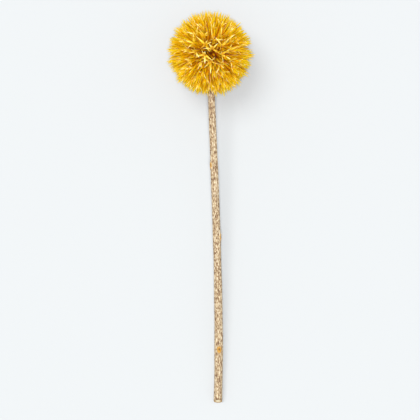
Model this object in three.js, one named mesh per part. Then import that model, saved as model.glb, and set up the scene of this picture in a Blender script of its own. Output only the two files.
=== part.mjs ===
// Preserved globe thistle stem, lying on its side on a flat surface.
// Millimetres, +Z up. The stem runs along Y with its flower head at +Y, the surface is Z = 0,
// and the origin is below the middle of the whole piece.
import * as THREE from 'three';

// Driving dimensions of the head
const HEAD_RADIUS = 25; // knob centre to the floret tips
const HEAD_HEIGHT = 23; // knob centre above the surface, so the lowest tips are pressed back by 2
const KNOB_RADIUS = 5.5; // the swollen end of the stem that the florets grow from
const SEAT_GAP = 0.3; // between the knob and the foot of a floret
const CLUSTERS = 54;
const FLORETS_PER_CLUSTER = 3;

// Driving dimensions of the stem
const NECK_RADIUS = 1.95;
const FOOT_RADIUS = 2.5;
const CUT_SLANT = THREE.MathUtils.degToRad(35); // the cut end faces a little upwards
const STEM_SIDES = 16;
const RING_SPACING = 5;
const KNOB_RINGS = 8;
const LEAF_SCARS = [
  { along: 62, turn: 0.4, height: 0.55 },
  { along: 103, turn: 2.9, height: 0.6 },
  { along: 139, turn: 5.2, height: 0.65 },
  { along: 168, turn: 1.7, height: 0.6 },
]; // distance from the knob centre, turn round the stem, height of the bump
const SCAR_LENGTH = 2.6;
const SCAR_WIDTH = 0.55; // radians round the stem

// The stem's centre line, from the middle of the cut end to the knob centre
const KNOB_CENTRE = new THREE.Vector3(0, 87.6, HEAD_HEIGHT);
const FOOT_CENTRE = new THREE.Vector3(4.6, -110.7, 2.694);
const CENTRE_LINE = new THREE.CubicBezierCurve3(
  FOOT_CENTRE,
  new THREE.Vector3(6.4, -45, 10.6),
  new THREE.Vector3(1.6, 35, 18.2),
  KNOB_CENTRE,
);

// Shape of one floret: a narrow bundle of bracts that widens outwards and opens in four points
const FLORET_TAPER = 0.118; // radius gained for each mm away from the knob centre
const FLORET_INSET = 0.25; // taken off that radius, which keeps the neighbours apart
const FLORET_WAIST = 0.5; // place of the middle ring, as a share of the length
const NOTCH_DEPTH = 2.5; // depth of the notches between the points
const CUP_DEPTH = 5; // depth of the hollow inside the points
const LENGTH_SPREAD = 0.05; // the shortest floret's reach is this share below the head radius
const FOOT_LIFT = 0.9; // a cluster's foot is this much nearer the crown than its tips

// The six-sided pad at the foot of each cluster, where its three florets grow together
const PAD_SIDES = 2 * FLORETS_PER_CLUSTER;
const PAD_RADIUS = 0.95;
const PAD_THICKNESS = 0.9;

const CROWN = new THREE.Vector3(0, 0, 1);
const NECK = new THREE.Vector3(0, 0, -1);
const wholeTurn = 2 * Math.PI;
const goldenAngle = Math.PI * (3 - Math.sqrt(5));

// An even scatter from -0.5 to 0.5: the fractional part of a multiple of an irrational number.
function scatter(index, prime) {
  const multiple = (index + 1) * Math.sqrt(prime);
  return multiple - Math.floor(multiple) - 0.5;
}

// A closed surface, built up from rings of points. A ring is a list of point numbers that turns
// anticlockwise when seen from the end that the rings run towards.
function startSurface() {
  const points = [];
  const triangles = [];
  const add = (list) => list.map((point) => points.push(point) - 1);
  const triangle = (...corners) => triangles.push(...corners);
  const wall = (lower, upper) => lower.forEach((corner, place) => {
    const next = (place + 1) % lower.length;
    triangle(corner, lower[next], upper[next]);
    triangle(corner, upper[next], upper[place]);
  });
  const endCap = (ring, centre) => ring.forEach((corner, place) => {
    triangle(centre, corner, ring[(place + 1) % ring.length]);
  });
  const startCap = (ring, centre) => endCap([...ring].reverse(), centre);
  const geometry = () => new THREE.BufferGeometry().setFromPoints(points).setIndex(triangles);
  return { add, triangle, wall, endCap, startCap, geometry };
}

// Two directions square to an axis: the first level, the second upwards. The first, the second
// and the axis are right-handed.
function crossAxes(axis) {
  const side = new THREE.Vector3().crossVectors(new THREE.Vector3(0, 0, 1), axis).normalize();
  const up = new THREE.Vector3().crossVectors(axis, side).normalize();
  return { side, up };
}

// The part of a direction that is square to an axis.
function squareTo(direction, axis) {
  return direction.clone().addScaledVector(axis, -direction.dot(axis)).normalize();
}

// A point beside an axis, at a radius and a turn from the given direction square to the axis.
function pointAround(centre, axis, zero, radius, turn) {
  const quarter = new THREE.Vector3().crossVectors(axis, zero);
  return centre.clone()
    .addScaledVector(zero, radius * Math.cos(turn))
    .addScaledVector(quarter, radius * Math.sin(turn));
}

const stemAxis = CENTRE_LINE.getTangent(1);
const stemLength = CENTRE_LINE.getLength();

// A direction of the head in space. In the head's own axes Z is its crown, straight on from
// the stem, and -Z is its neck.
function inSpace(direction) {
  const { side, up } = crossAxes(stemAxis);
  return new THREE.Vector3()
    .addScaledVector(side, direction.x)
    .addScaledVector(up, direction.y)
    .addScaledVector(stemAxis, direction.z);
}

// The directions of the floret tips, three to a cluster. The clusters start on a spiral of equal
// areas and their florets a little apart, then all of them push each other away until they are
// evenly spread. A weak pull holds each cluster together, and the stem keeps its own place.
const SPIRAL_END = 0.955; // how far down the spiral goes, 1 being the neck itself
const FIRST_SPREAD = 0.17;
const SPREAD_STEPS = 120;
const STEP_SIZE = 0.00022;
const CLUSTER_PULL = 200;

function firstDirections() {
  const directions = [];
  for (let number = 0; number < CLUSTERS; number += 1) {
    const height = 1 - (1 + SPIRAL_END) * ((number + 0.5) / CLUSTERS);
    const reach = Math.sqrt(1 - height * height);
    const turn = number * goldenAngle;
    const centre = new THREE.Vector3(reach * Math.cos(turn), reach * Math.sin(turn), height);
    const east = new THREE.Vector3(-Math.sin(turn), Math.cos(turn), 0);
    const north = new THREE.Vector3().crossVectors(centre, east);
    for (let member = 0; member < FLORETS_PER_CLUSTER; member += 1) {
      const around = (member / FLORETS_PER_CLUSTER + scatter(number, 2)) * wholeTurn;
      directions.push(centre.clone()
        .addScaledVector(east, FIRST_SPREAD * Math.cos(around))
        .addScaledVector(north, FIRST_SPREAD * Math.sin(around))
        .normalize());
    }
  }
  return directions;
}

function spreadEvenly(directions) {
  let current = directions;
  for (let step = 0; step < SPREAD_STEPS; step += 1) {
    const before = current;
    current = before.map((direction, index) => {
      const push = new THREE.Vector3();
      for (const other of [...before, NECK]) {
        const apart = new THREE.Vector3().subVectors(direction, other);
        const distance = apart.length();
        if (distance > 0) push.addScaledVector(apart, 1 / distance ** 4);
      }
      const first = index - (index % FLORETS_PER_CLUSTER);
      for (const member of before.slice(first, first + FLORETS_PER_CLUSTER)) {
        const towards = new THREE.Vector3().subVectors(member, direction);
        push.addScaledVector(towards, CLUSTER_PULL / FLORETS_PER_CLUSTER);
      }
      push.addScaledVector(direction, -push.dot(direction));
      return direction.clone().addScaledVector(push, STEP_SIZE).normalize();
    });
  }
  return current;
}

// A direction turned back towards the crown, to the given share of its angle from there.
function liftedTowardsCrown(direction) {
  const polar = direction.angleTo(CROWN) * FOOT_LIFT;
  const level = new THREE.Vector3(direction.x, direction.y, 0).normalize();
  return level.multiplyScalar(Math.sin(polar)).addScaledVector(CROWN, Math.cos(polar));
}

// The middle direction of a cluster's tips.
function middleOf(directions) {
  const sum = new THREE.Vector3();
  for (const direction of directions) sum.add(direction);
  return sum.normalize();
}

// A point of the head below the surface is drawn back towards the knob until it lies on it.
function restOnSurface(point) {
  if (point.z >= 0) return point;
  const share = HEAD_HEIGHT / (HEAD_HEIGHT - point.z);
  return point.sub(KNOB_CENTRE).multiplyScalar(share).add(KNOB_CENTRE);
}

// The thickness of a floret at a distance from the knob centre.
function floretRadius(distance) {
  return FLORET_TAPER * distance - FLORET_INSET;
}

// The rings of one floret. The four corners of its waist are its inner, right, outer and left
// side, as seen from outside, and its crown has a point over each corner and a notch between.
function floretRings(direction, middle, padTop, index) {
  const reach = HEAD_RADIUS * (1 - LENGTH_SPREAD * (scatter(index, 3) + 0.5));
  const tip = KNOB_CENTRE.clone().addScaledVector(inSpace(direction), reach);
  const axis = tip.clone().sub(padTop).normalize();
  const outer = squareTo(inSpace(direction).sub(inSpace(middle)), axis);
  const corner = (distance, step) => {
    const share = (distance - KNOB_RADIUS) / (reach - KNOB_RADIUS);
    const centre = padTop.clone().lerp(tip, share);
    const turn = Math.PI + step * (wholeTurn / 8);
    return restOnSurface(pointAround(centre, axis, outer, floretRadius(distance), turn));
  };
  const waist = KNOB_RADIUS + FLORET_WAIST * (reach - KNOB_RADIUS);
  const steps = [0, 1, 2, 3, 4, 5, 6, 7];
  return {
    waist: steps.filter((step) => step % 2 === 0).map((step) => corner(waist, step)),
    crown: steps.map((step) => corner(step % 2 ? reach - NOTCH_DEPTH : reach, step)),
    cup: padTop.clone().lerp(tip, 1 - CUP_DEPTH / (reach - KNOB_RADIUS)),
  };
}

// One cluster as a closed body: the pad, and on each third of its top the four walls of a
// floret, which run up to the waist and on to the crown's points, and the cup inside them.
function cluster(directions, first) {
  const middle = middleOf(directions);
  const axis = inSpace(liftedTowardsCrown(middle));
  const padPoint = (lift) => KNOB_CENTRE.clone()
    .addScaledVector(axis, KNOB_RADIUS + SEAT_GAP + lift);
  const padTop = padPoint(PAD_THICKNESS);
  const outer = squareTo(inSpace(directions[0]).sub(inSpace(middle)), axis);
  const padRing = (centre) => Array.from({ length: PAD_SIDES }, (_, corner) => (
    pointAround(centre, axis, outer, PAD_RADIUS, (corner - 1) * (wholeTurn / PAD_SIDES))
  ));

  const surface = startSurface();
  const bottomRing = surface.add(padRing(padPoint(0)));
  const topRing = surface.add(padRing(padTop));
  const [bottomCentre, topCentre] = surface.add([padPoint(0), padTop]);
  surface.startCap(bottomRing, bottomCentre);
  surface.wall(bottomRing, topRing);
  directions.forEach((direction, member) => {
    const rings = floretRings(direction, middle, padTop, first + member);
    const third = [0, 1, 2].map((step) => topRing[(2 * member + step) % PAD_SIDES]);
    const waist = surface.add(rings.waist);
    const crown = surface.add(rings.crown);
    const [cup] = surface.add([rings.cup]);
    surface.wall([topCentre, ...third], waist);
    waist.forEach((corner, side) => {
      const nextCorner = waist[(side + 1) % waist.length];
      const [point, notch] = crown.slice(2 * side);
      const nextPoint = crown[(2 * side + 2) % crown.length];
      surface.triangle(corner, nextCorner, notch);
      surface.triangle(corner, notch, point);
      surface.triangle(nextCorner, nextPoint, notch);
    });
    surface.endCap(crown, cup);
  });
  return surface.geometry();
}

// The stem's radius at a distance from the knob centre, without its leaf scars.
function stemRadius(distance) {
  return THREE.MathUtils.lerp(NECK_RADIUS, FOOT_RADIUS, distance / stemLength);
}

// How far a leaf scar raises the surface: a soft bump, steeper towards the head.
function scarHeight(distance, turn) {
  let raised = 0;
  for (const scar of LEAF_SCARS) {
    const along = (distance - scar.along) / SCAR_LENGTH;
    const around = Math.atan2(Math.sin(turn - scar.turn), Math.cos(turn - scar.turn)) / SCAR_WIDTH;
    raised += scar.height * Math.exp(-along * along - around * around);
  }
  return raised;
}

// The distances from the knob centre of the stem's rings, with three more at each leaf scar.
function ringDistances() {
  const distances = [];
  const nearScar = (distance) => LEAF_SCARS.some(
    (scar) => Math.abs(distance - scar.along) < 1.5 * SCAR_LENGTH,
  );
  const count = Math.round((stemLength - KNOB_RADIUS) / RING_SPACING);
  for (let ring = 0; ring < count; ring += 1) {
    const distance = stemLength - (stemLength - KNOB_RADIUS) * (ring / count);
    if (!nearScar(distance)) distances.push(distance);
  }
  for (const scar of LEAF_SCARS) {
    for (const offset of [-1.5, -0.5, 0.5, 1.5]) {
      distances.push(scar.along + offset * SCAR_LENGTH);
    }
  }
  return distances.sort((first, second) => second - first);
}

// The stem with its knob: rings along the centre line from the slanted cut up to the neck,
// then the knob's own rings, closed at the crown.
function stem() {
  const surface = startSurface();
  const rings = [];
  const addRing = (centre, axis, radiusAt, slant = 0) => {
    const { side } = crossAxes(axis);
    rings.push(surface.add(Array.from({ length: STEM_SIDES }, (_, corner) => {
      const turn = corner * (wholeTurn / STEM_SIDES);
      const rise = radiusAt(turn) * Math.sin(turn);
      return pointAround(centre, axis, side, radiusAt(turn), turn)
        .addScaledVector(axis, rise * Math.tan(slant));
    })));
  };
  for (const distance of ringDistances()) {
    const share = 1 - distance / stemLength;
    addRing(
      CENTRE_LINE.getPointAt(share),
      CENTRE_LINE.getTangentAt(share),
      (turn) => stemRadius(distance) + scarHeight(distance, turn),
      share === 0 ? CUT_SLANT : 0,
    );
  }
  const neckPolar = Math.PI - Math.asin(NECK_RADIUS / KNOB_RADIUS);
  for (let ring = 0; ring < KNOB_RINGS; ring += 1) {
    const polar = neckPolar * (1 - ring / KNOB_RINGS);
    const centre = KNOB_CENTRE.clone().addScaledVector(stemAxis, KNOB_RADIUS * Math.cos(polar));
    addRing(centre, stemAxis, () => KNOB_RADIUS * Math.sin(polar));
  }
  const crown = KNOB_CENTRE.clone().addScaledVector(stemAxis, KNOB_RADIUS);
  const [footCentre, crownPoint] = surface.add([FOOT_CENTRE.clone(), crown]);
  surface.startCap(rings[0], footCentre);
  rings.slice(1).forEach((ring, place) => surface.wall(rings[place], ring));
  surface.endCap(rings.at(-1), crownPoint);
  return surface.geometry();
}

function stemMaterial() {
  return new THREE.MeshStandardMaterial({ color: 0xc9a882, roughness: 0.85, metalness: 0 });
}

function floretMaterial() {
  return new THREE.MeshStandardMaterial({ color: 0xf0b400, roughness: 0.7, metalness: 0 });
}

function namedMesh(name, geometry, material) {
  const mesh = new THREE.Mesh(geometry, material);
  mesh.name = name;
  return mesh;
}

const thistle = new THREE.Group();
thistle.add(namedMesh('stem', stem(), stemMaterial()));

const tips = spreadEvenly(firstDirections());
for (let number = 0; number < CLUSTERS; number += 1) {
  const first = number * FLORETS_PER_CLUSTER;
  const own = tips.slice(first, first + FLORETS_PER_CLUSTER);
  const name = `florets_${String(number + 1).padStart(2, '0')}`;
  thistle.add(namedMesh(name, cluster(own, first), floretMaterial()));
}

export default thistle;
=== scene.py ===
import math
from dataclasses import dataclass

import bpy
import numpy as np
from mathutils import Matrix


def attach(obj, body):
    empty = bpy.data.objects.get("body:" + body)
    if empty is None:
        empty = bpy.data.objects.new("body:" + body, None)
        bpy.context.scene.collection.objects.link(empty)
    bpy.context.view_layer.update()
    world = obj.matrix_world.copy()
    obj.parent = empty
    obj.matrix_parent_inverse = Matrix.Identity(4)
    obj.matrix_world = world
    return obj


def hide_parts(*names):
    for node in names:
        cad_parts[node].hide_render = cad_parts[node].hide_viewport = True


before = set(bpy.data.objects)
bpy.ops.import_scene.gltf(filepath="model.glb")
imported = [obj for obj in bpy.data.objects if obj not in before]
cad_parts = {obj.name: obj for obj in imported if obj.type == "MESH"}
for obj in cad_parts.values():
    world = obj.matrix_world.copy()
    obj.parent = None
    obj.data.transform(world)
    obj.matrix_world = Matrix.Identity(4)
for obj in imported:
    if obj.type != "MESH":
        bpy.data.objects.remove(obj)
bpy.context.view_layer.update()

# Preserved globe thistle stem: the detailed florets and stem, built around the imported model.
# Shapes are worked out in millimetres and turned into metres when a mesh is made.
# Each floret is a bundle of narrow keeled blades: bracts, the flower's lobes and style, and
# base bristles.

MM = 0.001
WHOLE_TURN = 2 * math.pi
GOLDEN_ANGLE = math.pi * (3 - math.sqrt(5))
SHARP = math.radians(38)  # faces that meet at more than this are shaded with an edge

# Head
HEAD_RADIUS = 25.0  # knob centre to the longest tips
HEAD_HEIGHT = 23.0  # knob centre above the surface
KNOB_RADIUS = 5.5
SEAT_GAP = 0.3  # between the knob and a cluster's foot
CLUSTERS = 54
FLORETS_PER_CLUSTER = 3
LENGTH_SPREAD = 0.05  # the shortest floret's reach is this share below the head radius
FOOT_LIFT = 0.9  # a cluster's foot is at this share of its tips' angle from the crown
ROOT_SPREAD = 0.55  # from the middle of the pad to the root of each floret
REST_HEIGHT = 0.25  # least height of a blade's middle line above the surface
OPENING_POWER = 4  # the higher, the fewer florets round the topmost one have opened
OPENED_WIDENING = 0.3  # a blade widens by this share of what its tip moves out by
TURN_JITTER = 0.18  # of the step from one blade to the next round a floret
FIRST_SEED = 7  # of the random draws, to which each cluster adds its first floret's number

# The pad at a cluster's foot
PAD_SIDES = 12
PAD_RADIUS = 0.95
PAD_THICKNESS = 0.9
PAD_LIFTS = np.array([0.0, 0.25, 0.7, 1.0])  # its rings' heights, as shares of the thickness
PAD_WIDTHS = np.array([0.8, 1.0, 1.0, 0.75])  # and their shares of its radius

# Even spreading of the floret directions
SPIRAL_END = 0.955  # how far below the head's middle the spiral ends, as a share of its radius
FIRST_SPREAD = 0.17  # from a cluster's middle to its florets, before they are spread
SPREAD_STEPS = 120
STEP_SIZE = 0.00022
CLUSTER_PULL = 200  # to a cluster's middle from a radius away, where a floret's push is one
LEAST_DISTANCE = 1e-9  # keeps a floret's distance to itself off zero, which can't divide

# Stem, with distances measured from the knob centre along its centre line
NECK_RADIUS = 1.95
FOOT_RADIUS = 2.5
KNOB_CENTRE = np.array([0.0, 87.6, HEAD_HEIGHT])
CENTRE_LINE = np.array([[4.6, -110.7, 2.694], [6.4, -45.0, 10.6], [1.6, 35.0, 18.2], KNOB_CENTRE])
LINE_POINTS = 2001  # by which the centre line's own length is measured
STEM_SIDES = 104
RING_STEP = 0.6
KNOB_RINGS = 24
RIBS = 13
GROOVE_DEPTH = 0.17
GROOVE_POWER = 2.5  # makes the grooves narrower than the ribs

# Waves along the stem: height, length over which a wave gains a radian, and where it starts
RIB_WANDER = ((0.371, 23.0, 0.0), (0.212, 9.0, 1.0))  # heights in radians, a whole turn to a rib
SWELLING = (0.05, 13.0, 2.0)
SIDE_SWELLING = (0.04, 5.1)
SIDE_SHIFT = 2.0  # the most that the side swelling's start is shifted on a side of the stem

# Leaf scars: place along the stem, place round it in radians, and height
LEAF_SCARS = ((62, 0.4, 0.55), (103, 2.9, 0.6), (139, 5.2, 0.65), (168, 1.7, 0.6))
SCAR_LENGTH = 2.6
SCAR_WIDTH = 0.55  # radians round the stem
SCAR_STEEPNESS = 1.8  # how much faster a scar falls off towards the head
PIT_SHORTER = 2.6  # how much shorter than its scar a pit is
PIT_NARROWER = 2.2
PIT_DEPTH = 0.55  # of the scar's height

# The slanted cut at the foot: its rings from the pith to the rim, as shares of the way, and how
# far each stands out of the cut
CUT_SLANT = math.radians(35)
CUT_REACH = 3.5  # how far up the stem the slant dies out
CUT_SHARES = np.array([0.0, 0.3, 0.55, 0.72, 0.8, 0.9])
CUT_RISES = np.array([-0.22, -0.2, -0.12, -0.02, 0.05, 0.06])

# The colour map of the stem, from the pith at 0 to the crown of the knob at 1
CUT_MAP = 0.04  # the cut ends here
KNOB_MAP = 0.9  # and the knob begins here

# The colour map of the blades: strips side by side, each one blade wide, from root to tip
STRIPS = 16
BRACT_STRIPS = (0, 9)
DEEP_STRIPS = (9, 12)
PETAL_STRIPS = (12, 15)
BRISTLE_STRIPS = (15, 16)
STRIP_MARGIN = 0.06
PAD_MARGIN = 0.1
PAD_MAP = (0.02, 0.06)  # the pad's stretch of its strip

# Finishes by their place in a piece's list of materials, the head's three and the stem's one
BRACT_FINISH, PETAL_FINISH, BRISTLE_FINISH = range(3)
BARK_FINISH = 0


def unit(vectors):
    """Each vector divided by its own length."""
    return vectors / np.linalg.norm(vectors, axis=-1, keepdims=True)


def dot(first, second):
    """The dot products of two arrays of vectors, kept as a last axis of length one."""
    return (first * second).sum(-1, keepdims=True)


def square_to(vectors, axis):
    """The part of each vector that is square to the axis, as a unit vector."""
    return unit(vectors - dot(vectors, axis) * axis)


def scatter(index, prime):
    """An even scatter from -0.5 to 0.5: the fractional part of a multiple of an irrational."""
    multiple = (index + 1) * math.sqrt(prime)
    return multiple - np.floor(multiple) - 0.5


def bezier(points, share):
    """A cubic curve's points at shares from 0 to 1, and its directions there."""
    t = np.asarray(share, float)[..., None]
    a, b, c, d = points
    place = (1 - t) ** 3 * a + 3 * (1 - t) ** 2 * t * b + 3 * (1 - t) * t**2 * c + t**3 * d
    slope = 3 * (1 - t) ** 2 * (b - a) + 6 * (1 - t) * t * (c - b) + 3 * t**2 * (d - c)
    return place, unit(slope)


STEM_AXIS = bezier(CENTRE_LINE, 1.0)[1]
HEAD_SIDE = unit(np.cross([0, 0, 1], STEM_AXIS))
HEAD_UP = np.cross(STEM_AXIS, HEAD_SIDE)
HEAD_AXES = np.stack([HEAD_SIDE, HEAD_UP, STEM_AXIS])


def first_directions():
    """Three directions to a cluster, a little apart round a point of a spiral. Along the spiral
    the height falls in even steps and each point turns on by the golden angle."""
    number = np.arange(CLUSTERS)
    height = 1 - (1 + SPIRAL_END) * ((number + 0.5) / CLUSTERS)
    reach, turn = np.sqrt(1 - height**2), number * GOLDEN_ANGLE
    centre = np.stack([reach * np.cos(turn), reach * np.sin(turn), height], -1)[:, None]
    east = np.stack([-np.sin(turn), np.cos(turn), 0 * turn], -1)[:, None]
    north = np.cross(centre, east)
    member = np.arange(FLORETS_PER_CLUSTER) / FLORETS_PER_CLUSTER
    around = ((member + scatter(number, 2)[:, None]) * WHOLE_TURN)[..., None]
    return unit(centre + FIRST_SPREAD * (east * np.cos(around) + north * np.sin(around)))


def spread_evenly(directions):
    """Directions that push each other away by the inverse cube of their distance, and are drawn
    to their own cluster's middle, until they lie evenly round the head. The stem keeps its place."""
    count = CLUSTERS * FLORETS_PER_CLUSTER
    for _ in range(SPREAD_STEPS):
        now = directions.reshape(count, 3)
        others = np.vstack([now, [0, 0, -1]])
        apart = now[:, None] - others[None]
        distance = np.linalg.norm(apart, axis=-1, keepdims=True)
        away = np.where(distance > 0, apart / np.maximum(distance, LEAST_DISTANCE) ** 4, 0).sum(1)
        middle = directions.mean(1, keepdims=True)
        push = away + CLUSTER_PULL * (middle - directions).reshape(count, 3)
        push -= dot(push, now) * now
        directions = unit(now + STEP_SIZE * push).reshape(directions.shape)
    return directions


def lifted_towards_crown(direction):
    """A direction turned back towards the crown, to FOOT_LIFT times its angle from there."""
    polar = np.arccos(direction[2]) * FOOT_LIFT
    level = unit(direction * [1, 1, 0])
    return level * math.sin(polar) + np.array([0, 0, math.cos(polar)])


def rest_on_surface(points):
    """Points lower than REST_HEIGHT are drawn towards the knob centre until they are that high."""
    deepest = HEAD_HEIGHT - REST_HEIGHT
    share = deepest / np.maximum(HEAD_HEIGHT - points[..., 2:], deepest)
    return KNOB_CENTRE + (points - KNOB_CENTRE) * share


class Tubes:
    """Closed tubes with the same number of rings and sides. A tube's points are its start point,
    its rings one after another, each anticlockwise seen from the end, and its end point.
    quads and fans hold the point numbers of the faces between rings and at the two ends. For
    each corner of all these faces, tube says which tube it is on, ring its ring, from 0 at the
    start point, and around its place round the ring in steps."""

    def __init__(self, count, rings, sides):
        step = np.arange(sides)
        after = (step + 1) % sides
        ring = np.arange(rings - 1)[:, None]
        low, high = 1 + ring * sides, 1 + (ring + 1) * sides
        quads = np.stack([low + step, low + after, high + after, high + step], -1).reshape(-1, 4)
        quad_ring = np.broadcast_to((ring + 1)[..., None] + [0, 0, 1, 1], (rings - 1, sides, 4))
        quad_around = np.broadcast_to(step[:, None] + [0, 1, 1, 0], (rings - 1, sides, 4))

        last, end = 1 + (rings - 1) * sides, 1 + rings * sides
        start_fan = np.stack([0 * step, 1 + after, 1 + step], -1)
        end_fan = np.stack([last + step, last + after, 0 * step + end], -1)
        fans = np.vstack([start_fan, end_fan])
        fan_ring = np.repeat([[0, 1, 1], [rings, rings, rings + 1]], sides, 0)
        fan_around = np.vstack([step[:, None] + [0.5, 1, 0], step[:, None] + [0, 1, 0.5]])

        number = np.arange(count)
        first = number[:, None, None] * (end + 1)
        self.quads = (quads + first).reshape(-1, 4)
        self.fans = (fans + first).reshape(-1, 3)
        self.tube = np.concatenate([np.repeat(number, quads.size), np.repeat(number, fans.size)])
        self.ring = np.concatenate([np.tile(quad_ring.ravel(), count), np.tile(fan_ring.ravel(), count)])
        self.around = np.concatenate(
            [np.tile(quad_around.ravel(), count), np.tile(fan_around.ravel(), count)]
        )


def on_strip(strip, over, margin):
    """The map's place for a share of the way over a strip, kept off its edges by the margin."""
    return (strip + margin + (1 - 2 * margin) * over) / STRIPS


def put_together(parts):
    """Joins parts, each (points, tubes, corners' places on the map, finish), into one set of
    points, faces, places on the map and a finish for each face."""
    points, faces, places, finishes = [], [], [], []
    first = 0
    for part_points, tubes, part_places, finish in parts:
        points.append(part_points)
        faces += (tubes.quads + first).tolist() + (tubes.fans + first).tolist()
        places.append(part_places)
        finishes += [finish] * (len(tubes.quads) + len(tubes.fans))
        first += len(part_points)
    return np.concatenate(points), faces, np.concatenate(places), finishes


def make_piece(name, parts, materials, node, marks=None):
    """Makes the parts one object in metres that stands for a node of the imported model. marks are
    named values at the points, for a material to read."""
    points, faces, places, finishes = put_together(parts)
    mesh = bpy.data.meshes.new(name)
    mesh.from_pydata(points * MM, [], faces)
    layer = mesh.uv_layers.new(name="OFBake")
    layer.data.foreach_set("uv", places.astype(np.float32).ravel())
    mesh.polygons.foreach_set("material_index", np.array(finishes, np.int32))
    for mark, values in (marks or {}).items():
        mesh.attributes.new(mark, "FLOAT", "POINT").data.foreach_set("value", values)
    for material in materials:
        mesh.materials.append(material)
    mesh.polygons.foreach_set("use_smooth", np.ones(len(faces), bool))
    mesh.set_sharp_from_angle(angle=SHARP)
    mesh.update()
    piece = bpy.data.objects.new(name, mesh)
    bpy.context.scene.collection.objects.link(piece)
    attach(piece, "root")
    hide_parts(node)
    return piece


@dataclass
class BladeKind:
    """How the blades of one kind stand round a floret's axis, and their shape. A pair gives the
    least and the most of a random draw. Shares without another word are of the floret's length."""

    count: int
    root: tuple  # share at which a blade leaves the axis
    tip: tuple  # share at which it ends
    far: tuple  # distance of its tip from the axis
    width: tuple  # where it is widest
    near: float = 0.6  # distance of its root from the axis
    bow: float = 1.0  # power of the way along that the distance grows with
    belly: float = 0.0  # how far its middle stands out besides
    droop: float = 0.0  # how far its tip falls back, as a share of its own length
    sway: float = 0.5  # most that its tip lies to one side
    twist: float = 0.3  # most that its tip is twisted, in radians
    turn: float = 0.0  # where the first blade stands, in steps from blade to blade
    keel: float = 0.45  # how far its keel stands out, as a share of its width
    thickness: float = 0.16  # at the keel, as a share of its width
    opens: float = 0.0  # share by which its tip lies further out where the floret has opened
    strips: tuple = BRACT_STRIPS  # first strip of the colour map, and the one past the last
    finish: int = BRACT_FINISH


OUTER_BRACT = BladeKind(
    count=5, root=(0.02, 0.06), tip=(0.74, 0.94), far=(2.6, 4.2), width=(1.1, 1.45),
    sway=0.4, opens=0.3, strips=DEEP_STRIPS,
)
MIDDLE_BRACT = BladeKind(
    count=6, root=(0.05, 0.1), tip=(0.86, 1.0), far=(1.6, 3.6), width=(1.3, 1.75),
    bow=1.1, turn=0.5, opens=0.3,
)
INNER_BRACT = BladeKind(
    count=5, root=(0.1, 0.15), tip=(0.94, 1.05), far=(0.6, 2.4), width=(1.2, 1.55),
    near=0.35, bow=1.2, turn=0.1, opens=0.9,
)
LOBE = BladeKind(
    count=5, root=(0.52, 0.58), tip=(0.88, 1.0), far=(0.5, 2.4), width=(0.68, 0.95),
    near=0.2, bow=2.2, droop=0.16, sway=2.0, twist=1.2, turn=0.3, keel=0.18, thickness=0.28,
    opens=2.2, strips=PETAL_STRIPS, finish=PETAL_FINISH,
)
STYLE = BladeKind(
    count=1, root=(0.5, 0.55), tip=(0.86, 0.92), far=(0.0, 0.7), width=(0.5, 0.65),
    near=0.0, bow=2.0, sway=0.4, twist=0.0, keel=0.5, thickness=1.0,
    strips=PETAL_STRIPS, finish=PETAL_FINISH,
)
BRISTLE = BladeKind(
    count=12, root=(0.0, 0.02), tip=(0.22, 0.4), far=(1.0, 2.2), width=(0.22, 0.3),
    near=0.4, belly=0.1, sway=0.3, twist=0.0, keel=0.5, thickness=1.0,
    strips=BRISTLE_STRIPS, finish=BRISTLE_FINISH,
)
FLORET_BLADES = (OUTER_BRACT, MIDDLE_BRACT, INNER_BRACT, LOBE, STYLE, BRISTLE)

# Places along a blade from root to tip, and its width at those between the ends, as a share
STATIONS = np.array([0.0, 0.1, 0.3, 0.5, 0.68, 0.83, 0.93, 1.0])
WIDTH_SHARES = np.array([0.6, 0.95, 1.0, 0.8, 0.52, 0.26])


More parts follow.
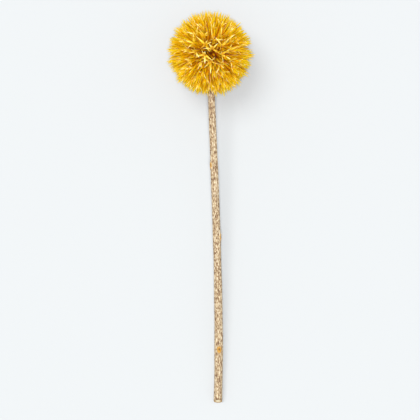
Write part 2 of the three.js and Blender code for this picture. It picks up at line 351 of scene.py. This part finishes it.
def blades(kind, root, tip, outer, opened, rng):
    """Blades of one kind round a floret's axis. The middle line runs up the axis from the root
    share to the tip share, less a droop with the cube of the way along. Its distance from the
    axis grows from near to far as a power of the way along, with a belly of half a sine. A blade
    sways sideways with the square of the way and twists evenly. Its section has four points: two
    margins, the keel on the outer side and the groove behind it. opened, from 0 to 1, moves the
    far end out and widens the blade by what its kind opens."""
    count = kind.count
    axis = unit(tip - root)
    length = np.linalg.norm(tip - root)
    across = np.cross(axis, outer)

    def drawn(limits):
        return rng.uniform(*limits, count)[:, None, None]

    jitter = rng.uniform(-TURN_JITTER, TURN_JITTER, count)
    turn = (np.arange(count) + kind.turn + jitter) / count * WHOLE_TURN
    turn = turn[:, None, None]
    away = outer * np.cos(turn) + across * np.sin(turn)
    side = across * np.cos(turn) - outer * np.sin(turn)

    t = STATIONS[None, :, None]
    start, end = drawn(kind.root), drawn(kind.tip)
    height = length * (start + (end - start) * (t - kind.droop * t**3))
    far = drawn(kind.far) * (1 + kind.opens * opened)
    distance = kind.near + (far - kind.near) * t**kind.bow + kind.belly * np.sin(math.pi * t)
    sway = kind.sway * drawn((-1, 1)) * t**2
    line = rest_on_surface(root + axis * height + away * distance + side * sway)

    along = unit(np.gradient(line, STATIONS, axis=1))
    twist = kind.twist * drawn((-1, 1)) * t
    straight_front = square_to(away + 0 * along, along)
    straight_right = np.cross(along, straight_front)
    front = straight_front * np.cos(twist) + straight_right * np.sin(twist)
    right = straight_right * np.cos(twist) - straight_front * np.sin(twist)
    width = drawn(kind.width) * (1 + OPENED_WIDENING * kind.opens * opened) * WIDTH_SHARES[:, None]
    centre, front, right = line[:, 1:-1], front[:, 1:-1], right[:, 1:-1]
    keel = centre + front * width * kind.keel
    groove = keel - front * width * kind.thickness
    ring = np.stack([centre - right * width / 2, keel, centre + right * width / 2, groove], 2)
    points = np.concatenate([line[:, :1], ring.reshape(count, -1, 3), line[:, -1:]], 1)

    tubes = Tubes(count, len(WIDTH_SHARES), 4)
    strip = rng.integers(*kind.strips, count)[tubes.tube]
    over = 1 - abs(1 - tubes.around / 2)
    up = (start + (end - start) * t)[tubes.tube, tubes.ring, 0]
    places = np.stack([on_strip(strip, over, STRIP_MARGIN), up], -1)
    return points.reshape(-1, 3), tubes, places, kind.finish


def pad(axis, outer):
    """The foot of a cluster: a short rounded plug, seated on the knob, of rings round an axis."""
    across = np.cross(axis, outer)
    turn = np.arange(PAD_SIDES)[:, None] / PAD_SIDES * WHOLE_TURN
    around = outer * np.cos(turn) + across * np.sin(turn)
    seat = KNOB_CENTRE + axis * (KNOB_RADIUS + SEAT_GAP)
    lifts = (PAD_LIFTS * PAD_THICKNESS)[:, None, None]
    widths = (PAD_WIDTHS * PAD_RADIUS)[:, None, None]
    rings = seat + axis * lifts + around * widths
    points = np.vstack([seat, rings.reshape(-1, 3), seat + axis * PAD_THICKNESS])
    tubes = Tubes(1, len(lifts), PAD_SIDES)
    up = np.interp(tubes.ring, (0, len(lifts) + 1), PAD_MAP)
    over = on_strip(BRISTLE_STRIPS[0], tubes.around / PAD_SIDES, PAD_MARGIN)
    return points, tubes, np.stack([over, up], -1), BRISTLE_FINISH


def florets(directions, first):
    """One cluster's parts: its pad and the blades of its three florets. Florets that face up, out
    of the surface's way, have opened widest, by a power of how far they face up."""
    rng = np.random.default_rng(FIRST_SEED + first)
    middle = unit(directions.sum(0))
    foot_axis = lifted_towards_crown(middle) @ HEAD_AXES
    pad_outer = square_to((directions[0] - middle) @ HEAD_AXES, foot_axis)
    pad_top = KNOB_CENTRE + foot_axis * (KNOB_RADIUS + SEAT_GAP + PAD_THICKNESS)
    parts = [pad(foot_axis, pad_outer)]
    for member, direction in enumerate(directions):
        reach = HEAD_RADIUS * (1 - LENGTH_SPREAD * (scatter(first + member, 3) + 0.5))
        tip = KNOB_CENTRE + (direction @ HEAD_AXES) * reach
        outer = square_to((direction - middle) @ HEAD_AXES, unit(tip - pad_top))
        root = pad_top + outer * ROOT_SPREAD
        opened = max((direction @ HEAD_AXES)[2], 0) ** OPENING_POWER
        parts += [blades(kind, root, tip, outer, opened, rng) for kind in FLORET_BLADES]
    return parts


def stem_line():
    """Distances from the knob centre at even steps from the foot to the neck, with the centre
    line's points and directions there, by the curve's own length."""
    fine = np.linspace(0, 1, LINE_POINTS)
    places = bezier(CENTRE_LINE, fine)[0]
    run = np.concatenate([[0], np.cumsum(np.linalg.norm(np.diff(places, axis=0), axis=1))])
    length = run[-1]
    count = int((length - KNOB_RADIUS) / RING_STEP)
    along = np.linspace(0, length - KNOB_RADIUS, count)
    share = np.interp(along, run, fine)
    return length - along, bezier(CENTRE_LINE, share), length


def wave(along, height, length, start):
    """A sine along the stem of the given height, which gains a radian over each length."""
    return height * np.sin(along / length + start)


def leaf_scars(along, turn):
    """How far the leaf scars stand out, and how far inside one a place is, from 0 to 1. A scar is
    a bell curve, steeper towards the head, less a smaller bell curve for its pit."""
    rise, inside = 0, 0
    for place, side, height in LEAF_SCARS:
        off = (along - place) / SCAR_LENGTH
        off = np.where(off < 0, SCAR_STEEPNESS * off, off)
        aside = np.arctan2(np.sin(turn - side), np.cos(turn - side)) / SCAR_WIDTH
        bell = np.exp(-(off**2) - aside**2)
        pit = np.exp(-((PIT_SHORTER * off) ** 2) - (PIT_NARROWER * aside) ** 2)
        rise = rise + height * (bell - PIT_DEPTH * pit)
        inside = np.maximum(inside, bell)
    return rise, inside


def stem_radius(along, turn, length):
    """The radius grows evenly from neck to foot, less a groove between neighbouring ribs, plus
    slow swellings and the leaf scars. Also how deep in a groove and inside a scar a place is."""
    plain = NECK_RADIUS + (FOOT_RADIUS - NECK_RADIUS) * along / length
    wander = sum(wave(along, *each) for each in RIB_WANDER)
    groove = ((1 - np.cos(RIBS * turn + wander)) / 2) ** GROOVE_POWER
    swelling = wave(along, *SWELLING) + wave(along, *SIDE_SWELLING, SIDE_SHIFT * np.sin(turn))
    scar_rise, scar = leaf_scars(along, turn)
    return plain - GROOVE_DEPTH * groove + swelling + scar_rise, groove, scar


def knob_rings(turn):
    """Circles of latitude on the knob's sphere, from the neck up to just below the crown."""
    neck_polar = math.pi - math.asin(NECK_RADIUS / KNOB_RADIUS)
    polar = (neck_polar * (1 - np.arange(KNOB_RINGS) / KNOB_RINGS))[:, None, None]
    around = HEAD_SIDE * np.cos(turn)[..., None] + HEAD_UP * np.sin(turn)[..., None]
    return KNOB_CENTRE + KNOB_RADIUS * (STEM_AXIS * np.cos(polar) + around * np.sin(polar))


def stem():
    """The stem's part: rings over the cut from the pith to the rim, along the centre line to the
    neck, and up the knob. The cut's slant shifts points along the axis by its slope times their
    height over the centre line, and fades evenly up the stem. Also gives the marks: how deep in
    a groove and how far inside a scar a point is."""
    distance, (centre, axis), length = stem_line()
    side = unit(np.cross([0, 0, 1], axis))
    up = np.cross(axis, side)
    turn = (np.arange(STEM_SIDES) / STEM_SIDES * WHOLE_TURN)[None]
    radius, groove, scar = stem_radius(distance[:, None], turn, length)
    around = side[:, None] * np.cos(turn)[..., None] + up[:, None] * np.sin(turn)[..., None]
    shaft = centre[:, None] + around * radius[..., None]
    rise = radius[0] * np.sin(turn[0]) * math.tan(CUT_SLANT)
    fade = np.clip(1 - (length - distance) / CUT_REACH, 0, 1)[:, None]
    shaft = shaft + axis[:, None] * (rise[None] * fade)[..., None]

    foot, outwards = centre[0], -axis[0]
    cut = foot + (shaft[0] - foot) * CUT_SHARES[1:, None, None] + outwards * CUT_RISES[1:, None, None]
    knob = knob_rings(turn)
    rings = np.concatenate([cut, shaft, knob])
    pith, crown = foot + outwards * CUT_RISES[0], KNOB_CENTRE + STEM_AXIS * KNOB_RADIUS
    points = np.vstack([pith, rings.reshape(-1, 3), crown])

    tubes = Tubes(1, len(rings), STEM_SIDES)
    cut_map = CUT_MAP * CUT_SHARES
    shaft_map = np.linspace(CUT_MAP, KNOB_MAP, len(shaft), endpoint=False)
    knob_map = np.linspace(KNOB_MAP, 1, len(knob) + 1)
    along = np.concatenate([cut_map, shaft_map, knob_map])[tubes.ring]
    places = np.stack([tubes.around / STEM_SIDES, along], -1)

    before, after = 1 + len(cut) * STEM_SIDES, len(knob) * STEM_SIDES + 1
    marks = {
        "groove": np.pad(groove.ravel(), (before, after)),
        "scar": np.pad(scar.ravel(), (before, after)),
    }
    return (points, tubes, places, BARK_FINISH), marks


def linear(hex_colour):
    """An sRGB hex colour as linear red, green, blue and a full alpha."""
    parts = [int(hex_colour[place : place + 2], 16) / 255 for place in (1, 3, 5)]
    straight = [p / 12.92 if p <= 0.04045 else ((p + 0.055) / 1.055) ** 2.4 for p in parts]
    return (*straight, 1.0)


def add(material, kind, links=None, stops=None, **settings):
    """Adds a node to a material. settings are the node's own. links gives an input, by name or
    number, a value, an output, or a node for its first output in use. stops are a ramp's places
    and colours."""
    tree = material.node_tree
    node = tree.nodes.new(kind)
    for name, value in settings.items():
        setattr(node, name, value)
    for name, value in (links or {}).items():
        if isinstance(value, bpy.types.Node):
            value = next(output for output in value.outputs if output.enabled)
        if isinstance(value, bpy.types.NodeSocket):
            tree.links.new(value, node.inputs[name])
        else:
            node.inputs[name].default_value = value
    if stops:
        ramp = node.color_ramp
        while len(ramp.elements) < len(stops):
            ramp.elements.new(0.5)
        for element, (place, colour) in zip(ramp.elements, stops):
            element.position, element.color = place, linear(colour)
    return node


def new_material(name):
    """A node material with no nodes yet."""
    material = bpy.data.materials.new(name)
    material.use_nodes = True
    material.node_tree.nodes.clear()
    return material


def finished(material, colour, rough, relief, strength, depth, others):
    """The material, ended in a shader with the colour and roughness, and a bump from the relief,
    as deep as given in millimetres. others are the shader's other values."""
    bump = add(material, "ShaderNodeBump", {"Height": relief, "Strength": strength, "Distance": depth * MM})
    surface = {"Base Color": colour, "Roughness": rough, "Normal": bump, **others}
    shader = add(material, "ShaderNodeBsdfPrincipled", surface)
    add(material, "ShaderNodeOutputMaterial", {"Surface": shader})
    return material


def blade_places(material):
    """The strip number, the place across the blade and the place along the floret of a point,
    read from the blade's colour map."""
    uv = add(material, "ShaderNodeUVMap", uv_map="OFBake")
    apart = add(material, "ShaderNodeSeparateXYZ", {"Vector": uv}).outputs
    wide = add(material, "ShaderNodeMath", {0: apart["X"], 1: STRIPS}, operation="MULTIPLY")
    strip = add(material, "ShaderNodeMath", {0: wide}, operation="FLOOR")
    over = add(material, "ShaderNodeMath", {0: wide}, operation="FRACT")
    return strip, over, apart["Y"]


def off_middle(material, over):
    """How far a place is from the blade's middle line, from 0 to 0.5 at its margins."""
    aside = add(material, "ShaderNodeMath", {0: over, 1: 0.5}, operation="SUBTRACT")
    return add(material, "ShaderNodeMath", {0: aside}, operation="ABSOLUTE")


def grain(material, place, scale, detail, roughness=0.5):
    """A noise pattern. scale gives the grains to a unit of the place, each way."""
    spread = add(material, "ShaderNodeMapping", {"Vector": place, "Scale": scale})
    noise = {"Vector": spread, "Scale": 1.0, "Detail": detail, "Roughness": roughness}
    return add(material, "ShaderNodeTexNoise", noise)


# Real fibres in a bract are about 0.05 mm apart, and lobes and bristles are grained as finely,
# which is too fine to show. So each grain is drawn as coarse as it needs to show: its width and
# length in millimetres, on a blade of the given width.
FLORET_LENGTH = 18.0  # about that of a floret, from 0 to 1 on the colour map
BRACT_WIDTH, BRACT_FIBRE = 1.3, (0.5, 11.25)
LOBE_WIDTH, LOBE_FIBRE = 0.8, (0.16, 2.0)
BRISTLE_WIDTH, BRISTLE_SPECKLE = 0.26, (0.065, 0.9)


def blade_grain(material, strip, over, along, width, size, step, detail):
    """A noise pattern on the colour map of blades of the given width, with grains of the given
    size. Each strip cuts the noise a step of so many grains further on, so that its pattern is
    its own."""
    place = add(material, "ShaderNodeCombineXYZ", {"X": over, "Y": along, "Z": strip})
    return grain(material, place, (width / size[0], FLORET_LENGTH / size[1], step), detail)


# Dye on the bracts at shares of the floret's length, from root to tip. The red-brown towards the root, and
# that of the outer bracts in the gaps, is partly the dye's own and partly painted shade for the depth in
# the head
GOLDEN = [(0.0, "#B84020"), (0.3, "#DC641C"), (0.52, "#FCBC08"), (0.75, "#FCCE08"), (1.0, "#F8DA1C")]
ORANGE = [(0.0, "#B03C1E"), (0.3, "#CC521C"), (0.54, "#E48E04"), (0.75, "#E89C00"), (1.0, "#F4BA08")]
RUSTY_AND_DEPTH_SHADE = [(0.0, "#B43C1E"), (0.42, "#C44818"), (0.62, "#D87410"), (0.85, "#EAA80C")]


def dyed_bract():
    """Dried, dyed bract, papery: red-brown where it is packed deep in the head, partly the dye's
    own and partly painted shade for the depth, golden yellow outside, with fine darker orange
    fibres, margins darkened by painted shade between neighbouring blades and, on some bracts,
    pale margins that are partly painted highlight, which give the head its bright needles over
    red-brown gaps."""
    material = new_material("dyed_bract")
    strip, over, along = blade_places(material)
    tone = add(material, "ShaderNodeTexWhiteNoise", {"W": strip}, noise_dimensions="1D")
    golden = add(material, "ShaderNodeValToRGB", {"Fac": along}, GOLDEN)
    orange = add(material, "ShaderNodeValToRGB", {"Fac": along}, ORANGE)
    rusty_and_depth_shade = add(material, "ShaderNodeValToRGB", {"Fac": along}, RUSTY_AND_DEPTH_SHADE)
    dye = add(material, "ShaderNodeMix", {"Factor": tone, "A": golden, "B": orange}, data_type="RGBA")
    # The outer bracts take the rusty ramp, partly their dye and partly painted shade for the gaps they sit
    # in
    deep = add(material, "ShaderNodeMath", {0: strip, 1: DEEP_STRIPS[0] - 0.5}, operation="GREATER_THAN")
    dye = add(material, "ShaderNodeMix", {"Factor": deep, "A": dye, "B": rusty_and_depth_shade}, data_type="RGBA")

    fibres = blade_grain(material, strip, over, along, BRACT_WIDTH, BRACT_FIBRE, step=7.3, detail=3.0)
    darker = add(material, "ShaderNodeMapRange", {"Value": fibres, "From Min": 0.34, "From Max": 0.66})
    shade = add(
        material, "ShaderNodeMix",
        {"Factor": darker, "A": linear("#FFFFFF"), "B": linear("#F8DEA8")}, data_type="RGBA",
    )
    colour = add(material, "ShaderNodeVectorMath", {0: dye, 1: shade}, operation="MULTIPLY")

    aside = off_middle(material, over)
    # Painted shade: each blade's margins are darkened to orange, which draws dark lines between
    # neighbouring blades
    edge = add(
        material, "ShaderNodeMapRange",
        {"Value": aside, "From Min": 0.24, "From Max": 0.44, "To Max": 0.75},
    )
    colour = add(
        material, "ShaderNodeMix", {"Factor": edge, "A": colour, "B": linear("#CE7C06")}, data_type="RGBA"
    )
    # Pale margins on some bracts, away from the head's depth: partly the bract's own pale margin and partly
    # a painted highlight
    margin = add(
        material, "ShaderNodeMapRange",
        {"Value": aside, "From Min": 0.26, "From Max": 0.4}, interpolation_type="SMOOTHSTEP",
    )
    chance = add(material, "ShaderNodeSeparateXYZ", {"Vector": tone.outputs["Color"]}).outputs["Y"]
    faded = add(
        material, "ShaderNodeMapRange",
        {"Value": chance, "From Min": 0.72, "From Max": 0.92, "To Max": 0.8},
    )
    outside = add(material, "ShaderNodeMapRange", {"Value": along, "From Min": 0.45, "From Max": 0.8})
    pale = add(material, "ShaderNodeMath", {0: margin, 1: faded}, operation="MULTIPLY")
    pale = add(material, "ShaderNodeMath", {0: pale, 1: outside}, operation="MULTIPLY")
    colour = add(
        material, "ShaderNodeMix", {"Factor": pale, "A": colour, "B": linear("#FFF0B0")}, data_type="RGBA"
    )
    rough = add(
        material, "ShaderNodeMapRange",
        {"Value": fibres, "From Min": 0.34, "From Max": 0.66, "To Min": 0.47, "To Max": 0.63},
    )
    others = {
        "IOR": 1.45, "Specular IOR Level": 0.1, "Subsurface Weight": 0.7,
        "Subsurface Scale": 2 * MM, "Subsurface Radius": (1.0, 0.7, 0.15),
    }
    return finished(material, colour, rough, fibres, strength=0.4, depth=0.1, others=others)


# Dye on the flower's lobes, likewise
LOBE_YELLOW = [
    (0.55, "#D8900E"), (0.68, "#F2C22A"), (0.8, "#F8D850"), (0.9, "#FCE484"), (1.0, "#FEF4C8")
]


def dyed_petal():
    """Dried flower lobe that took less dye: cream yellow with orange edges, soft and slightly
    glossy, which gives the curled light arms where florets are seen end on."""
    material = new_material("dyed_petal")
    strip, over, along = blade_places(material)
    yellow = add(material, "ShaderNodeValToRGB", {"Fac": along}, LOBE_YELLOW)
    edge = add(
        material, "ShaderNodeMapRange",
        {"Value": off_middle(material, over), "From Min": 0.28, "From Max": 0.44, "To Max": 0.6},
    )
    edged = add(
        material, "ShaderNodeMix", {"Factor": edge, "A": yellow, "B": linear("#E8B020")}, data_type="RGBA"
    )
    fibres = blade_grain(material, strip, over, along, LOBE_WIDTH, LOBE_FIBRE, step=3.7, detail=2.0)
    shade = add(
        material, "ShaderNodeMapRange",
        {"Value": fibres, "From Min": 0.3, "From Max": 0.7, "To Min": 0.85, "To Max": 1.05},
    )
    colour = add(material, "ShaderNodeVectorMath", {0: edged, 1: shade}, operation="MULTIPLY")
    rough = add(
        material, "ShaderNodeMapRange",
        {"Value": fibres, "From Min": 0.3, "From Max": 0.7, "To Min": 0.38, "To Max": 0.52},
    )
    others = {
        "IOR": 1.45, "Specular IOR Level": 0.35, "Subsurface Weight": 0.4,
        "Subsurface Scale": 1 * MM, "Subsurface Radius": (1.0, 0.7, 0.2),
    }
    return finished(material, colour, rough, fibres, strength=0.3, depth=0.1, others=others)


# Dye on the bristles and the florets' feet, likewise
BRISTLE_BROWN = [(0.0, "#C04A26"), (0.15, "#CC5826"), (0.35, "#DC7626")]


def base_bristle():
    """Stiff base bristle and floret foot, of straw that took the dye darkly, which gives the red
    brown that shows deep in the head."""
    material = new_material("base_bristle")
    strip, over, along = blade_places(material)
    brown = add(material, "ShaderNodeValToRGB", {"Fac": along}, BRISTLE_BROWN)
    speckle = blade_grain(
        material, strip, over, along, BRISTLE_WIDTH, BRISTLE_SPECKLE, step=1.0, detail=2.0
    )
    shade = add(
        material, "ShaderNodeMapRange",
        {"Value": speckle, "From Min": 0.3, "From Max": 0.7, "To Min": 0.8, "To Max": 1.1},
    )
    colour = add(material, "ShaderNodeVectorMath", {0: brown, 1: shade}, operation="MULTIPLY")
    rough = add(
        material, "ShaderNodeMapRange",
        {"Value": speckle, "From Min": 0.3, "From Max": 0.7, "To Min": 0.62, "To Max": 0.78},
    )
    return finished(material, colour, rough, speckle, strength=0.3, depth=0.05, others={"IOR": 1.45})


# Grains of the stem's felt to a millimetre, across and along it. Real felt has hairs of about
# 0.1 mm, too fine to show, so its speckles are drawn as coarse as they need to show, 0.8 mm wide
# and 1.7 mm long, and its lengthwise streaks 0.4 mm wide and 17 mm long.
SPECKLES = (1.3, 0.6, 1.3)
STREAKS = (2.6, 0.06, 2.6)
FELT = [(0.38, "#E0D2B8"), (0.46, "#CAB894"), (0.52, "#A68A66"), (0.58, "#6C5038"), (0.66, "#4A3220")]

# Wood of the cut from the pith to the rim
CUT_WOOD = [(0.0, "#D8CCB0"), (0.55, "#CEBE9C"), (0.74, "#94703F"), (0.88, "#AE8C5C"), (1.0, "#64482C")]


def dried_bark():
    """Dried stem bark with a thin felt: cream with brown speckles, browner in the grooves by painted
    shade, and yellow-brown leaf scars that took up dye, which give the stem its grainy look. Its
    cut end shows a woody rim and pale pith."""
    material = new_material("dried_bark")
    uv = add(material, "ShaderNodeUVMap", uv_map="OFBake")
    along = add(material, "ShaderNodeSeparateXYZ", {"Vector": uv}).outputs["Y"]
    groove = add(material, "ShaderNodeAttribute", attribute_name="groove").outputs["Fac"]
    scar = add(material, "ShaderNodeAttribute", attribute_name="scar").outputs["Fac"]
    place = add(material, "ShaderNodeTexCoord").outputs["Object"]
    speckle = grain(material, place, [count / MM for count in SPECKLES], detail=5.0, roughness=0.7)
    streaks = grain(material, place, [count / MM for count in STREAKS], detail=4.0, roughness=0.6)
    felt = add(material, "ShaderNodeValToRGB", {"Fac": speckle}, FELT)
    shade = add(
        material, "ShaderNodeMapRange",
        {"Value": streaks, "From Min": 0.36, "From Max": 0.64, "To Min": 0.7, "To Max": 1.08},
    )
    colour = add(material, "ShaderNodeVectorMath", {0: felt, 1: shade}, operation="MULTIPLY")

    # Painted shade: the grooves between the ribs are darkened towards brown
    groove_shade = add(material, "ShaderNodeMath", {0: groove, 1: 0.65}, operation="MULTIPLY")
    dyed = add(
        material, "ShaderNodeMapRange",
        {"Value": scar, "From Min": 0.25, "From Max": 0.6, "To Max": 0.85},
    )
    torn = add(
        material, "ShaderNodeMapRange",
        {"Value": scar, "From Min": 0.78, "From Max": 0.95, "To Max": 0.9},
    )
    on_cut = add(material, "ShaderNodeMath", {0: along, 1: CUT_MAP}, operation="LESS_THAN")
    over_cut = add(material, "ShaderNodeMath", {0: along, 1: CUT_MAP}, operation="DIVIDE")
    wood = add(material, "ShaderNodeValToRGB", {"Fac": over_cut}, CUT_WOOD)
    in_head = add(
        material, "ShaderNodeMapRange",
        {"Value": along, "From Min": KNOB_MAP - 0.01, "From Max": KNOB_MAP + 0.02},
    )
    layers = (
        (groove_shade, linear("#78583A")),
        (dyed, linear("#B88420")),
        (torn, linear("#5A3818")),
        (on_cut, wood),
        (in_head, linear("#C24C1E")),
    )
    for share, layer in layers:
        mixed = {"Factor": share, "A": colour, "B": layer}
        colour = add(material, "ShaderNodeMix", mixed, data_type="RGBA")

    rough = add(
        material, "ShaderNodeMapRange",
        {"Value": speckle, "From Min": 0.4, "From Max": 0.6, "To Min": 0.86, "To Max": 0.74},
    )
    relief = add(material, "ShaderNodeMath", {0: streaks, 1: speckle}, operation="ADD")
    return finished(material, colour, rough, relief, strength=0.5, depth=0.2, others={"IOR": 1.5})


head_materials = [dyed_bract(), dyed_petal(), base_bristle()]
for number, directions in enumerate(spread_evenly(first_directions())):
    piece = make_piece(
        f"floret_group_{number + 1:02d}",
        florets(directions, number * FLORETS_PER_CLUSTER),
        head_materials,
        f"florets_{number + 1:02d}",
    )

stem_part, stem_marks = stem()
stem_piece = make_piece("ribbed_stem", [stem_part], [dried_bark()], "stem", stem_marks)


# Floor, light and camera, in metres
LENS = 100.0  # focal length and sensor are in millimetres
SENSOR = 36.0
PICTURE_SPAN = 236 * MM  # what the picture shows across at the height of the knob
FLOOR_SIZE = 8.0


def floor():
    """A plain pale floor under the piece."""
    material = new_material("pale_floor")
    shader = add(
        material, "ShaderNodeBsdfPrincipled", {"Base Color": linear("#B1B3B4"), "Roughness": 0.9}
    )
    add(material, "ShaderNodeOutputMaterial", {"Surface": shader})
    half = FLOOR_SIZE / 2
    mesh = bpy.data.meshes.new("floor")
    corners = [(-half, -half, 0), (half, -half, 0), (half, half, 0), (-half, half, 0)]
    mesh.from_pydata(corners, [], [(0, 1, 2, 3)])
    mesh.materials.append(material)
    made = bpy.data.objects.new("floor", mesh)
    bpy.context.scene.collection.objects.link(made)


def soft_light(name, source, width, strength):
    """A broad, far studio light from the direction of source, as wide as the given angle in
    degrees, with its strength in watts on a square metre."""
    lamp = bpy.data.lights.new(name, "SUN")
    lamp.angle, lamp.energy = math.radians(width), strength
    made = bpy.data.objects.new(name, lamp)
    bpy.context.scene.collection.objects.link(made)
    made.location = source
    made.rotation_mode = "QUATERNION"
    made.rotation_quaternion = made.location.to_track_quat("Z", "Y")


def surroundings(colour, strength):
    """An even pale light from all round."""
    world = bpy.data.worlds.new("studio")
    world.use_nodes = True
    background = world.node_tree.nodes["Background"]
    background.inputs["Color"].default_value = linear(colour)
    background.inputs["Strength"].default_value = strength
    bpy.context.scene.world = world


def camera():
    """A camera that looks straight down on the lying piece, with the head at the picture's top."""
    lens = bpy.data.cameras.new("camera")
    lens.lens, lens.sensor_width = LENS, SENSOR
    made = bpy.data.objects.new("camera", lens)
    bpy.context.scene.collection.objects.link(made)
    made.location = (0, 0, HEAD_HEIGHT * MM + PICTURE_SPAN * LENS / SENSOR)
    bpy.context.scene.camera = made


floor()
soft_light("key_light", source=(-0.35, 0.3, 1.0), width=32.0, strength=1.55)
soft_light("front_light", source=(0.0, -0.135, 1.0), width=10.0, strength=3.18)
surroundings(colour="#F2F6F8", strength=0.62)
camera()
bpy.context.scene.view_settings.view_transform = "Standard"
